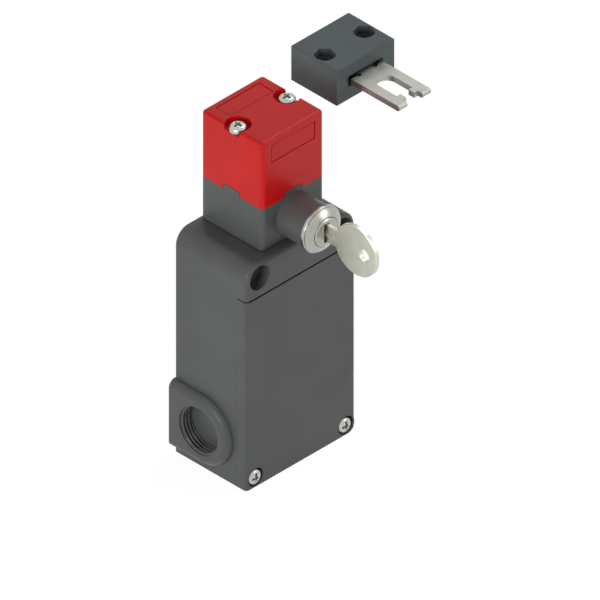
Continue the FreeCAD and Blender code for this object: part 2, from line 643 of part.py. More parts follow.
def lock_cam():
    """Disc on the core's tail with the crank pin that moves the bolt."""
    axis = ("0", "lock_level")
    disc = rod(None, "+", "y", ("lock_tail", "lock_tail + lock_cam_thick"), axis, "lock_cam_radius")
    pin = rod(None, "+", "y", ("lock_tail + lock_cam_thick", "lock_tail + lock_cam_thick + lock_pin_length"),
              ("0", "lock_level - lock_pin_place"), "lock_pin_radius")
    return joined(disc, pin)


def lock_bolt():
    """Slotted plate that the crank pin drives; its arm slides under the plunger's collar."""
    front, back = "bolt_front", "bolt_front + bolt_thick"
    plate = box(None, "+", ("-head_room + lock_pin_place + play", "bolt_arm_outer"), (front, back),
                ("ledge_level + play", "lock_level + lock_cam_radius"))
    arm = box(None, "+", ("bolt_arm_inner", "bolt_arm_outer"), (back, "head_middle + plunger_radius"),
              ("bolt_arm_level", "bolt_arm_level + bolt_arm_thick"))
    free = "lock_pin_radius + play"
    slot = box(None, "+", (f"-({free}) - lock_pin_play", free), (front, back),
               (f"lock_level - lock_pin_place - ({free})", f"lock_level + {free}"))
    return minus(joined(plate, arm), slot)


def key():
    """Flat key: chamfered round bow with a ring hole, milled blade with five cuts along its foot."""
    home = body("Key")
    low, high, tip = "lock_level - key_blade / 2", "lock_level + key_blade / 2", "lock_face + key_length"
    shoulder = "lock_face - key_bow_reach"
    edge = [(shoulder, high), (f"{tip} - key_tip", high), (tip, "lock_level"), (f"{tip} - key_tip / 2", low)]
    for number in reversed(range(5)):
        middle = f"(lock_face + bit_start + {number} * bit_pitch)"
        root = f"{low} + bit_depth + {number % 2} * bit_step"
        edge += [(f"{middle} + bit_width / 2", low), (f"{middle} + bit_width / 6", root),
                 (f"{middle} - bit_width / 6", root), (f"{middle} - bit_width / 2", low)]
    edge.append((shoulder, low))
    padded(home, "y", ("-key_thick / 2", "0", "0"), edge, "key_thick")
    milled = ("lock_face - key_bow_reach + key_bow / 2", tip)
    side = ("-key_thick / 2", "-key_thick / 2 + key_mill")
    box(home, "-", side, milled, ("lock_level + key_rib_high", high))
    box(home, "-", side, milled, (low, "lock_level + key_rib_low"))
    rod(home, "+", "x", sides("key_thick / 2"), (shoulder, "lock_level"), "key_bow")
    bow = 2 * size("key_bow") - TINY
    soften(home, "key_edge", lambda e: e.ZLength > bow and e.XLength < TINY, "Chamfer")
    rod(home, "-", "x", sides("key_thick / 2"), ("lock_face - key_hole_reach", "lock_level"), "key_hole")
    return home


# ---------------------------------------------------------------- plunger and contacts

def plunger():
    """Turned rod from the cam down to the contacts with the collar that the bolt blocks."""
    home = body("Plunger")
    turned(home, "z", ("0", "head_middle", "0"),
           (("carrier_top", "0"), ("carrier_top", "plunger_radius"), ("collar_level", "plunger_radius"),
            ("collar_level", "collar_radius"), ("collar_level + collar_thick", "collar_radius"),
            ("collar_level + collar_thick", "plunger_radius"),
            ("plunger_top - plunger_nose", "plunger_radius"),
            ("plunger_top", "plunger_radius - plunger_nose"), ("plunger_top", "0")))
    return home


def plunger_seal():
    """Rubber ring in the top of the body around the plunger."""
    axis = ("0", "head_middle")
    span = ("body_height - seal_thick", "body_height")
    return minus(rod(None, "+", "z", span, axis, "seal_radius"),
                 rod(None, "+", "z", span, axis, "plunger_radius + fit"))


def contact_rows():
    """Centre level of each terminal row, with 1 where its contact opens and -1 where it closes."""
    rows = []
    for number in range(4):
        rows.append((f"(row_first + {number} * row_pitch)", -1 if number < 3 else 1))
    return rows


def strip_level(row, way):
    """Middle of the fixed strip in a row."""
    return f"({row} + closed_rise)" if way < 0 else f"({row} - open_drop)"


def bridge_low(row, way):
    """Underside of the moving bridge plate in a row, with the plunger down."""
    level = strip_level(row, way)
    if way < 0:
        return f"({level} - contact_stack - plunger_travel - bridge_thick)"
    return f"({level} + contact_stack)"


def contact_block_base():
    """Moulding with a central chamber for the carrier and a column of terminals on each side."""
    home = body("ContactBase")
    box(home, "+", sides("block_half"), ("block_front", "cavity_rear"), ("block_low", "block_top"))
    box(home, "-", sides("chamber_half"), ("block_front", "chamber_rear"), ("chamber_low", "chamber_top"))
    rod(home, "-", "z", ("chamber_top", "block_top"), ("0", "head_middle"), "plunger_radius + play")
    for side in (-1, 1):
        at = (f"{side} * block_screw_place", "block_screw_level")
        rod(home, "-", "y", ("block_front", "cavity_rear"), at, "terminal_screw + play")
        for row, way in contact_rows():
            level = strip_level(row, way)
            slot_x = ("chamber_half", "terminal_inner + strip_thick + play")
            if side < 0:
                slot_x = ("-terminal_inner - strip_thick - play", "-chamber_half")
            box(home, "-", slot_x, ("block_front", "head_middle + bridge_width / 2 + play"),
                around(level, "strip_thick / 2 + fit"))
            middle = f"{side} * (terminal_inner + terminal_outer) / 2"
            rod(home, "-", "y", ("block_front", "block_front + terminal_screw_length"), (middle, row),
                "terminal_screw + fit")
        for number in range(5):
            barrier_x = ("terminal_inner", "block_half") if side > 0 else ("-block_half", "-terminal_inner")
            box(home, "+", barrier_x, ("block_front - barrier_stand", "block_front"),
                around(f"(row_first + ({number} - 0.5) * row_pitch)", "barrier_thick / 2"))
    return home


def contact_block_cover():
    """Plate over the front of the chamber."""
    return box(None, "+", sides("chamber_half"), ("block_front - plate_thick", "block_front"),
               ("block_low", "block_top"))


def block_screws():
    screws = []
    for side in (-1, 1):
        at = (f"{side} * block_screw_place", "block_screw_level")
        head = rod(None, "+", "y", ("block_front - terminal_head_height", "block_front"), at, "terminal_head")
        shank = rod(None, "+", "y", ("block_front", "cavity_rear + block_screw_bite"), at, "terminal_screw")
        screws.append(joined(head, shank))
    return group(*screws)


def fixed_contacts():
    """A strip per terminal: tip inside the chamber, tongue through the wall, plate under the screw."""
    strips = []
    for row, way in contact_rows():
        level = strip_level(row, way)
        tip_low = f"{level} - strip_thick / 2 - tip_thick" if way < 0 else f"{level} + strip_thick / 2"
        for side in (-1, 1):
            tab_x = ("strip_end", "terminal_inner + strip_thick")
            riser_x = ("terminal_inner", "terminal_inner + strip_thick")
            plate_x = ("terminal_inner", "terminal_outer")
            if side < 0:
                tab_x, riser_x, plate_x = (tuple(f"-({end})" for end in reversed(pair))
                                           for pair in (tab_x, riser_x, plate_x))
            thick = around(level, "strip_thick / 2")
            tab = box(None, "+", tab_x, around("head_middle", "bridge_width / 2"), thick)
            riser = box(None, "+", riser_x, ("block_front", "head_middle"), thick)
            plate = box(None, "+", plate_x, ("block_front - strip_thick", "block_front"),
                        around(row, "terminal_half"))
            tip = rod(None, "+", "z", (tip_low, f"{tip_low} + tip_thick"),
                      (f"{side} * (strip_end + tip_radius)", "head_middle"), "tip_radius")
            middle = f"{side} * (terminal_inner + terminal_outer) / 2"
            bore = rod(None, "+", "y", ("block_front - strip_thick", "block_front"), (middle, row),
                       "terminal_screw + fit")
            strips.append(minus(joined(tab, riser, plate, tip), bore))
    return group(*strips)


def terminal_set(make):
    """One piece per terminal, made from the terminal's place."""
    return group(*(make((f"{side} * (terminal_inner + terminal_outer) / 2", row))
                   for row, way in contact_rows() for side in (-1, 1)))


def terminal_clamps():
    face = "block_front - strip_thick"

    def clamp(at):
        plate = box(None, "+", around(at[0], "terminal_half"), (f"{face} - clamp_thick", face),
                    around(at[1], "terminal_half"))
        bore = rod(None, "+", "y", (f"{face} - clamp_thick", face), at, "terminal_screw + fit")
        return minus(plate, bore)
    return terminal_set(clamp)


def terminal_screws():
    seat = "block_front - strip_thick - clamp_thick"

    def screw(at):
        head = rod(None, "+", "y", (f"{seat} - terminal_head_height", seat), at, "terminal_head")
        shank_end = "block_front + terminal_screw_length - play"
        shank = rod(None, "+", "y", (seat, shank_end), at, "terminal_screw")
        return joined(head, shank)
    return terminal_set(screw)


def contact_carrier():
    """Moulded slide with a window for each bridge."""
    home = body("Carrier")
    box(home, "+", sides("carrier_half"), around("head_middle", "carrier_half"),
        ("carrier_low", "carrier_top"))
    for row, way in contact_rows():
        low = bridge_low(row, way)
        box(home, "-", sides("carrier_half"), around("head_middle", "bridge_width / 2"),
            (low, f"{low} + bridge_thick"))
    return home


def moving_bridges():
    """Four bridges with a silver tip at each end."""
    bridges = []
    for row, way in contact_rows():
        low = bridge_low(row, way)
        tip_low = f"{low} + bridge_thick" if way < 0 else f"{low} - tip_thick"
        plate = box(None, "+", sides("bridge_half"), around("head_middle", "bridge_width / 2"),
                    (low, f"{low} + bridge_thick"))
        tips = [rod(None, "+", "z", (tip_low, f"{tip_low} + tip_thick"),
                    (f"{side} * (strip_end + tip_radius)", "head_middle"), "tip_radius") for side in (-1, 1)]
        bridges.append(joined(plate, *tips))
    return group(*bridges)


def return_spring():
    """Compression spring under the carrier."""
    path = doc.addObject("Part::Helix", "SpringPath")
    tall = "(carrier_low - chamber_low - 2 * spring_wire)"
    bind(path, Radius="spring_radius", Height=tall, Pitch=f"{tall} / spring_turns")
    place(path, "0", "head_middle", "chamber_low + spring_wire")
    section = doc.addObject("Part::RegularPolygon", "SpringSection")
    section.Polygon = 6
    section.Placement = FreeCAD.Placement(FreeCAD.Vector(), TURN["y"])
    bind(section, Circumradius="spring_wire")
    place(section, "spring_radius", "head_middle", "chamber_low + spring_wire")
    doc.recompute()
    spring = doc.addObject("Part::Sweep", "Spring")
    spring.Sections = [section]
    spring.Spine = (path, [])
    spring.Solid = True
    spring.Frenet = True
    return spring


# ---------------------------------------------------------------- actuator

def actuator_block():
    """Block with two sunk screw places, a mouth for the tongue and a room for its cradle."""
    home = body("ActuatorBlock")
    right, rear = "act_left + act_width", "act_front + act_depth"
    high = "act_low + act_height"
    box(home, "+", ("act_left", right), ("act_front", rear), ("act_low", high))
    top = size(high)
    soften(home, "act_edge", lambda e: near(e.ZMin, top), "Chamfer")
    box(home, "-", around("act_middle", "mouth_half"), ("act_front", "act_front + act_wall"),
        ("act_low + mouth_low", "act_low + mouth_high"))
    box(home, "-", around("act_middle", "act_room_half"),
        ("act_front + act_wall", "act_front + chamber_reach"), ("act_low", "act_low + act_room_high"))
    box(home, "-", around("act_middle", "act_room_half + base_thick"),
        ("act_front + act_wall - base_thick", "act_front + chamber_reach + base_thick"),
        ("act_low", "act_low + base_thick"))
    for side in (-1, 1):
        at = (f"act_middle + {side} * act_hole_offset", "act_front + act_hole_place")
        rod(home, "-", "z", (f"{high} - act_sink_depth", high), at, "act_sink_radius")
        hexagon(home, "-", (f"{high} - act_sink_depth", high), at, "act_sink_hexagon")
        rod(home, "-", "z", ("act_low", high), at, "act_hole_radius")
    rod(home, "-", "z", ("act_low + act_room_high", "act_low + act_room_high + pivot_bite"), PIVOT,
        "pivot_radius + fit")
    return home


def actuator_base():
    """Plate that closes the cradle's room from below and carries the pivot pin's foot."""
    plate = box(None, "+", around("act_middle", "act_room_half + base_thick - play"),
                ("act_front + act_wall - base_thick + play", "act_front + chamber_reach + base_thick - play"),
                ("act_low", "act_low + base_thick"))
    return minus(plate, rod(None, "+", "z", ("act_low", "act_low + base_thick"), PIVOT, "pivot_radius + fit"))


def cradle_pin():
    return rod(None, "+", "z", ("act_low", "act_low + act_room_high + pivot_bite"), PIVOT, "pivot_radius")


def tongue_cradle():
    """Swivel block: turns on the upright pin and holds the tongue's neck on the cross pin."""
    wide = around("act_middle", "cradle_half")
    deep = ("act_front + cradle_front", "act_front + cradle_rear")
    block = box(None, "+", wide, deep, around("tongue_level", "cradle_half_height"))
    slot = box(None, "+", around("act_middle", "tongue_neck_half + play"),
               (deep[0], "act_front + pivot_place - pivot_radius - play"),
               around("tongue_level", "tongue_thick / 2 + neck_play"))
    high = around("tongue_level", "cradle_half_height")
    upright_bore = rod(None, "+", "z", high, PIVOT, "pivot_radius + fit")
    cross_bore = rod(None, "+", "x", wide, CROSS, "cross_pin_radius")
    return minus(block, slot, upright_bore, cross_bore)


def tongue_pin():
    return rod(None, "+", "x", around("act_middle", "cradle_half"), CROSS, "cross_pin_radius")


def tongue():
    """Forked steel tongue: round-ended window, inward hooks, bevelled tips, narrow neck."""
    home = body("Tongue")
    thick = around("tongue_level", "tongue_thick / 2")
    tip = "act_front - tongue_reach"
    box(home, "+", around("act_middle", "tongue_half"), (tip, "act_front - tongue_gap"), thick)
    front = size(tip)
    soften(home, "tip_bevel",
           lambda e: near(e.YMin, front) and near(e.YMax, front) and e.XLength > TINY, "Chamfer")
    box(home, "+", around("act_middle", "tongue_neck_half"),
        ("act_front - tongue_gap - tongue_shoulder", "act_front + cross_pin_place + tongue_shoulder"), thick)
    window_end = "act_front - window_start - window_half"
    rod(home, "-", "z", thick, ("act_middle", window_end), "window_half")
    box(home, "-", around("act_middle", "window_half"), ("act_front - hook_start", window_end), thick)
    box(home, "-", around("act_middle", "hook_half"), (tip, "act_front - hook_start"), thick)
    box(home, "-", around("act_middle", "window_half"), (tip, "act_front - hook_end"), thick)
    for side in (-1, 1):
        rod(home, "-", "z", thick, (f"act_middle + {side} * (tongue_neck_half + relief_radius)",
                                    "act_front - tongue_gap"), "relief_radius")
    rod(home, "-", "x", around("act_middle", "tongue_neck_half"), CROSS, "cross_pin_radius + fit")
    return home


PARTS = (
    housing, cover, cover_gasket, cover_screws, earth_saddle, earth_screw,
    head_gasket, lower_head, upper_head, head_screws, cam_wheel, cam_axle, front_slot_plug, top_slot_plug,
    lock_barrel, lock_plug, lock_nut, lock_cam, lock_bolt, key,
    plunger, plunger_seal, return_spring, contact_block_base, contact_block_cover, block_screws,
    fixed_contacts, terminal_clamps, terminal_screws, contact_carrier, moving_bridges,
    actuator_block, actuator_base, cradle_pin, tongue_cradle, tongue_pin, tongue,
)

nodes = {}
for make in PARTS:
    item = make()
    item.Label = make.__name__
    nodes[make.__name__] = item
doc.recompute()
for item in doc.Objects:
    if {"Invalid", "Error"} & set(item.State):
        raise RuntimeError(f"{item.Name} failed: {item.State}")
os.makedirs("parts", exist_ok=True)
for label, item in nodes.items():
    if item.Shape.isNull() or not item.Shape.isValid():
        raise RuntimeError(f"{label} has no valid shape")
    item.Shape.exportStep(f"parts/{label}.step")
    print(label, len(item.Shape.Solids), round(item.Shape.Volume, 1))
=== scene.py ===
"""Looks of the tongue interlock switch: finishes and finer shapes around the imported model."""
import json
import math

import bmesh
import bpy
from mathutils import Matrix, Vector
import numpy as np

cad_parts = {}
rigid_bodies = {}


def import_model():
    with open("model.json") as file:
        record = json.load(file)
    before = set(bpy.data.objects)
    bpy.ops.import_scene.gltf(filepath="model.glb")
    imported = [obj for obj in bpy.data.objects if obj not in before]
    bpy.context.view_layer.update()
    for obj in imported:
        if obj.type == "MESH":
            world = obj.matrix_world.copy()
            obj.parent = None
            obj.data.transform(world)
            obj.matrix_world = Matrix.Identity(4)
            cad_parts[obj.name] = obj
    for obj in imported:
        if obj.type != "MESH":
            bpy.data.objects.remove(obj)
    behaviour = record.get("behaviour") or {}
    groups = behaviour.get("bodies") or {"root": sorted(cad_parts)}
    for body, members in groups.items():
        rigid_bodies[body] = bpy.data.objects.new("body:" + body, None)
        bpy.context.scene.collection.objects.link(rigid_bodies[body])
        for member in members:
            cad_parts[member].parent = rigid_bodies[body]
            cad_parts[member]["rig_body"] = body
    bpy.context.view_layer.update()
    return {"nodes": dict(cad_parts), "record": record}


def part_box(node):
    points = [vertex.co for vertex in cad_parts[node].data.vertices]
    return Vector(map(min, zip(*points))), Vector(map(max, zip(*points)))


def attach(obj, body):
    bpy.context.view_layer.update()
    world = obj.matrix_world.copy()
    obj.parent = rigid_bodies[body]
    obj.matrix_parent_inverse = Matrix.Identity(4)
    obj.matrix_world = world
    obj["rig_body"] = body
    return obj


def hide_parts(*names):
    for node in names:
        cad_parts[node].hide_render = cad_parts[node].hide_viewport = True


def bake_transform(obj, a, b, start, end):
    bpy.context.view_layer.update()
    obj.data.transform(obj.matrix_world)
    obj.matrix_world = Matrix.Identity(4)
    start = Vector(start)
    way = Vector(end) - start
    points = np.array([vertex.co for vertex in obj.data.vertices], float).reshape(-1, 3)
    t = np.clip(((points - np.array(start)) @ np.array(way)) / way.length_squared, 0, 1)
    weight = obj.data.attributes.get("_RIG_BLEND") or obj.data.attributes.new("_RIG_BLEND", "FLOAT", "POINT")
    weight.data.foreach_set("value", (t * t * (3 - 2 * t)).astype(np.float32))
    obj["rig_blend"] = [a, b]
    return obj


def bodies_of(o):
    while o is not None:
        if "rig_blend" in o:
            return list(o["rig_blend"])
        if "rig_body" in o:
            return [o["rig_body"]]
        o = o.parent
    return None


MM = 0.001
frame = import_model()
SLOTS = {entry["node"]: entry["material_slot"] for entry in frame["record"]["subparts"]}
MOUNTS = {entry["name"]: entry for entry in frame["record"]["mounts"]}


# ---------------------------------------------------------------- colours

def srgb(red, green, blue):
    """A colour given as screen values, in the linear values that shaders take."""
    def linear(channel):
        level = channel / 255
        return level / 12.92 if level <= 0.04045 else ((level + 0.055) / 1.055) ** 2.4
    return linear(red), linear(green), linear(blue), 1.0


BODY_GREY = srgb(88, 91, 89)
ACTUATOR_GREY = srgb(83, 92, 93)
HEAD_RED = srgb(208, 14, 10)
SEAL_BLACK = srgb(30, 30, 30)


# ---------------------------------------------------------------- materials

NOISE_MIDDLE = (0.35, 0.65)     # where most of a noise's values lie
GLOSS_SPREAD = 0.15             # share by which roughness wanders to either side
EDGE_SAMPLES = 4

# Cells a metre of each noise: slow drift in colour, patches of gloss, and fine relief.
PLASTIC_CELLS = {"drift": 60, "gloss": 900, "grain": 4500}
PLASTIC_SPECULAR = 0.25
PLASTIC_EDGE = 0.3 * MM         # radius by which the shader softens sharp edges

METAL_CELLS = {"drift": 250, "marks": 5000}
METAL_DRIFT = 0.04
METAL_EDGE = 0.15 * MM

RUBBER_CELLS = {"drift": 700, "grain": 3500}
RUBBER_DRIFT = 0.2
RUBBER_GRAIN = 0.02 * MM
RUBBER_ROUGHNESS = 0.75


class Nodes:
    """Short calls for wiring one material."""

    def __init__(self, name):
        self.material = bpy.data.materials.new(name)
        self.material.use_nodes = True
        self.tree = self.material.node_tree
        self.shader = self.tree.nodes["Principled BSDF"]
        self.place = self.add("ShaderNodeTexCoord").outputs["Object"]

    def add(self, kind, **settings):
        """A new node with its settings."""
        node = self.tree.nodes.new(kind)
        for name, setting in settings.items():
            setattr(node, name, setting)
        return node

    def link(self, output, socket):
        """A link from one node's output to another's input."""
        self.tree.links.new(output, socket)

    def set(self, **sockets):
        """Fixed values for the shader's inputs, with _ for each space of a name."""
        for name, setting in sockets.items():
            self.shader.inputs[name.replace("_", " ")].default_value = setting

    def noise(self, scale, detail=2, stretch=(1, 1, 1)):
        """Noise over the object's own coordinates, in metres; scale is the number of cells a metre."""
        mapping = self.add("ShaderNodeMapping")
        mapping.inputs["Scale"].default_value = stretch
        self.link(self.place, mapping.inputs["Vector"])
        node = self.add("ShaderNodeTexNoise")
        node.inputs["Scale"].default_value = scale
        node.inputs["Detail"].default_value = detail
        self.link(mapping.outputs["Vector"], node.inputs["Vector"])
        return node.outputs["Fac"]

    def span(self, value, low, high):
        """The middle of a noise's values, spread from low to high."""
        node = self.add("ShaderNodeMapRange")
        node.inputs["From Min"].default_value = NOISE_MIDDLE[0]
        node.inputs["From Max"].default_value = NOISE_MIDDLE[1]
        node.inputs["To Min"].default_value = low
        node.inputs["To Max"].default_value = high
        self.link(value, node.inputs["Value"])
        return node.outputs["Result"]

    def tint(self, value, colour, drift):
        """Base colour that wanders with a noise, by the share drift to either side."""
        node = self.add("ShaderNodeMix", data_type="RGBA")
        node.inputs["A"].default_value = [channel * (1 - drift) for channel in colour[:3]] + [1]
        node.inputs["B"].default_value = [channel * (1 + drift) for channel in colour[:3]] + [1]
        self.link(self.span(value, 0, 1), node.inputs["Factor"])
        self.link(node.outputs["Result"], self.shader.inputs["Base Color"])

    def gloss(self, value, roughness):
        """Roughness that wanders with a noise round its middle value."""
        low, high = roughness * (1 - GLOSS_SPREAD), roughness * (1 + GLOSS_SPREAD)
        self.link(self.span(value, low, high), self.shader.inputs["Roughness"])

    def bump(self, height, distance, edge=0.0):
        """Fine relief, over sharp edges that are softened by the radius edge."""
        node = self.add("ShaderNodeBump")
        node.inputs["Distance"].default_value = distance
        self.link(height, node.inputs["Height"])
        if edge:
            rounded = self.add("ShaderNodeBevel", samples=EDGE_SAMPLES)
            rounded.inputs["Radius"].default_value = edge
            self.link(rounded.outputs["Normal"], node.inputs["Normal"])
        self.link(node.outputs["Normal"], self.shader.inputs["Normal"])


def plastic(name, colour, roughness=0.38, grain=0.02 * MM, drift=0.05):
    """Moulded plastic: faint spark-eroded grain, slow drift in colour and gloss."""
    made = Nodes(name)
    made.set(Specular_IOR_Level=PLASTIC_SPECULAR)
    made.tint(made.noise(PLASTIC_CELLS["drift"]), colour, drift)
    made.gloss(made.noise(PLASTIC_CELLS["gloss"]), roughness)
    made.bump(made.noise(PLASTIC_CELLS["grain"]), grain, PLASTIC_EDGE)
    return made.material


def metal(name, colour, roughness=0.25, stretch=(1, 1, 1), scratch=0.001 * MM):
    """Bare or plated metal with fine directional marks."""
    made = Nodes(name)
    made.set(Metallic=1.0)
    made.tint(made.noise(METAL_CELLS["drift"], detail=3), colour, METAL_DRIFT)
    marks = made.noise(METAL_CELLS["marks"], stretch=stretch)
    made.gloss(marks, roughness)
    made.bump(marks, scratch, METAL_EDGE)
    return made.material


def rubber(name):
    """Dull black rubber with an even gloss."""
    made = Nodes(name)
    made.set(Roughness=RUBBER_ROUGHNESS)
    made.tint(made.noise(RUBBER_CELLS["drift"], detail=3), SEAL_BLACK, RUBBER_DRIFT)
    made.bump(made.noise(RUBBER_CELLS["grain"]), RUBBER_GRAIN)
    return made.material


def make_materials():
    """One material for each slot of the record."""
    return {
        "body_grey": plastic("body_grey", BODY_GREY),
        "head_red": plastic("head_red", HEAD_RED, 0.34),
        "actuator_grey": plastic("actuator_grey", ACTUATOR_GREY, 0.42),
        "bright_steel": metal("bright_steel", srgb(184, 186, 182), 0.26),
        "chrome": metal("chrome", srgb(172, 172, 165), 0.27, scratch=0),
        "tongue_steel": metal("tongue_steel", srgb(170, 171, 164), 0.42, (1, 0.06, 1)),
        "key_metal": metal("key_metal", srgb(210, 210, 197), 0.42, (1, 0.1, 1)),
        "brass": metal("brass", srgb(206, 172, 96), 0.25),
        "copper_strip": metal("copper_strip", srgb(214, 160, 110), 0.28, (0.1, 1, 1)),
        "spring_steel": metal("spring_steel", srgb(190, 190, 190), 0.3),
        "rubber": rubber("rubber"),
        "inner_plastic": plastic("inner_plastic", srgb(222, 214, 190), 0.5),
        "slide_plastic": plastic("slide_plastic", srgb(232, 232, 228), 0.45),
        "clear_plate": plastic("clear_plate", srgb(48, 54, 58), 0.3),
    }


MATERIALS = make_materials()


def dress():
    """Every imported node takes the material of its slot."""
    for node, slot in SLOTS.items():
        mesh = frame["nodes"][node].data
        mesh.materials.clear()
        mesh.materials.append(MATERIALS[slot])


# ---------------------------------------------------------------- mesh helpers

ROUND = 48          # sides of a turned form
FINE = 96           # sides of a large turned form
DISC = 64           # sides of a filler for an old recess
PAST = 1 * MM       # how far a cutter reaches past the surface it opens


def turns(count):
    """Angles of equal steps round a circle."""
    return [2 * math.pi * k / count for k in range(count)]


def arc(centre, radius, start, end, steps):
    """Points of an arc in a plane, with its angles in degrees."""
    angles = [math.radians(start + (end - start) * k / steps) for k in range(steps + 1)]
    return [(centre[0] + radius * math.cos(angle), centre[1] + radius * math.sin(angle))
            for angle in angles]


def rectangle(half_a, half_b):
    """Corners of a rectangle about the origin."""
    return [(a * half_a, b * half_b) for a, b in ((-1, -1), (1, -1), (1, 1), (-1, 1))]


def clipped_disc(centre, radius, low, high):
    """Points of a circle; those outside the rectangle from low to high are drawn in to its edge."""
    circle = [(centre[0] + radius * math.cos(turn), centre[1] + radius * math.sin(turn))
              for turn in turns(DISC)]
    return [(max(low[0], min(high[0], a)), max(low[1], min(high[1], b))) for a, b in circle]


def ring_surface(rings, closed=False):
    """A mesh from equal rings of points.

    Closed joins the last ring to the first; otherwise each end gets a face.
    """
    bm = bmesh.new()
    loops = [[bm.verts.new(point) for point in ring] for ring in rings]
    count = len(loops[0])
    for low, high in zip(loops, loops[1:] + loops[:1] if closed else loops[1:]):
        for k in range(count):
            bm.faces.new((low[k], low[(k + 1) % count], high[(k + 1) % count], high[k]))
    if not closed:
        bm.faces.new(loops[0][::-1])
        bm.faces.new(loops[-1])
    bmesh.ops.recalc_face_normals(bm, faces=bm.faces)
    return bm


def lathe(profile, closed=False, segments=ROUND):
    """Points (radius, height) turned about Z; a closed profile makes a ring with a hole."""
    rings = [[(radius * math.cos(turn), radius * math.sin(turn), height) for turn in turns(segments)]
             for radius, height in profile]
    return ring_surface(rings, closed)


def prism(outline, low, high, taper=1.0):
    """An outline in X and Y raised from low to high, and scaled by taper at its low end."""
    return ring_surface([[(x * taper, y * taper, low) for x, y in outline],
                         [(x, y, high) for x, y in outline]])


def frame_prism(outer, inner, low, high):
    """A rectangular frame raised from low to high; outer and inner are half sizes."""
    corners = ((outer, low), (outer, high), (inner, high), (inner, low))
    return ring_surface([[(x, y, level) for x, y in rectangle(*half)] for half, level in corners],
                        closed=True)


def block(low, high):
    """A box between two corners."""
    outline = ((low[0], low[1]), (high[0], low[1]), (high[0], high[1]), (low[0], high[1]))
    return prism(outline, low[2], high[2])


def moved(bm, matrix):
    """The same mesh, moved."""
    bm.transform(matrix)
    return bm


FRONT = Vector((0, -1, 0))
UP = Vector((0, 0, 1))
TO_Y = Matrix.Rotation(-math.pi / 2, 4, "X")                                # takes Z to Y
TO_X = Matrix(((0, 0, 1, 0), (1, 0, 0, 0), (0, 1, 0, 0), (0, 0, 0, 1)))     # takes X, Y, Z to Y, Z, X


def along_y(outline, low, high):
    """An outline in X and Z raised along Y."""
    return moved(prism([(x, -z) for x, z in outline], low, high), TO_Y)


def along_x(outline, low, high):
    """An outline in Y and Z raised along X."""
    return moved(prism(outline, low, high), TO_X)


def turned_to(direction, place):
    """The matrix that takes Z to direction and the origin to place."""
    rotation = direction.to_track_quat("Z", "Y").to_matrix().to_4x4()
    return Matrix.Translation(Vector(place)) @ rotation


def thread_radius(turn, height, pitch, root, crest):
    """Radius of a thread at an angle and a height; crest, root and each flank take a quarter of the pitch."""
    phase = (height / pitch - turn / (2 * math.pi)) % 1
    flank = min(max(abs(2 * phase - 1) * 2 - 0.5, 0), 1)
    return crest + (root - crest) * flank


def merged(meshes):
    """One mesh from several."""
    whole = bmesh.new()
    for bm in meshes:
        mesh = bpy.data.meshes.new("part")
        bm.to_mesh(mesh)
        bm.free()
        whole.from_mesh(mesh)
        bpy.data.meshes.remove(mesh)
    return whole


def as_object(bm, name):
    """A mesh as an object of the scene."""
    mesh = bpy.data.meshes.new(name)
    bm.to_mesh(mesh)
    bm.free()
    item = bpy.data.objects.new(name, mesh)
    bpy.context.scene.collection.objects.link(item)
    return item


def carved(bm, cutters, fillers=()):
    """The mesh bm with the fillers' meshes joined to it and then the cutters' taken out of it."""
    item = as_object(bm, "carved")
    tools = []
    for operation, meshes in (("UNION", fillers), ("DIFFERENCE", cutters)):
        for mesh in meshes:
            tools.append(as_object(mesh, "tool"))
            step = item.modifiers.new("step", "BOOLEAN")
            step.operation = operation
            step.solver = "EXACT"
            step.object = tools[-1]
    bpy.context.view_layer.update()
    mesh = bpy.data.meshes.new_from_object(item.evaluated_get(bpy.context.evaluated_depsgraph_get()))
    result = bmesh.new()
    result.from_mesh(mesh)
    for used in (item, *tools):
        bpy.data.objects.remove(used)
    bpy.data.meshes.remove(mesh)
    return result


SMOOTH_UP_TO = math.radians(35)
WELD = 0.0005 * MM


def body_of(node):
    """Name of the body that carries a CAD node."""
    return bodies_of(frame["nodes"][node])[0]


def piece(bm, name, slot, body, *nodes):
    """A finished piece on its body, shaded smooth over blunt edges, standing for the CAD nodes."""
    for face in bm.faces:
        face.smooth = True
    for edge in bm.edges:
        edge.smooth = len(edge.link_faces) == 2 and edge.calc_face_angle() < SMOOTH_UP_TO
    item = as_object(bm, name)
    item.data.materials.append(MATERIALS[slot])
    if nodes:
        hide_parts(*nodes)
    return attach(item, body) if body else item


def refined(node, cutters, fillers=()):
    """A copy of a CAD node with small forms added and cut, which then stands for the node."""
    bm = bmesh.new()
    bm.from_mesh(frame["nodes"][node].data)
    bmesh.ops.remove_doubles(bm, verts=bm.verts, dist=WELD)
    piece(carved(bm, cutters, fillers), node + "_detail", SLOTS[node], body_of(node), node)


# ---------------------------------------------------------------- screw sizes

M4 = {"head": 3.4 * MM, "rim": 0.9 * MM, "dome": 1.8 * MM, "shank": 2.0 * MM, "pitch": 0.7 * MM}
M3 = {"head": 2.8 * MM, "rim": 0.7 * MM, "dome": 1.3 * MM, "shank": 1.5 * MM, "pitch": 0.5 * MM}


def head_height(size):
    """Height of a screw's head over its seat."""
    return size["rim"] + size["dome"]


def centres(low, high, size, count):
    """Middles of count screw heads in a row that spans low to high."""
    if count == 1:
        return [(low + high) / 2]
    first, last = low + size["head"], high - size["head"]
    return [first + (last - first) * k / (count - 1) for k in range(count)]


# ---------------------------------------------------------------- cover, head and actuator

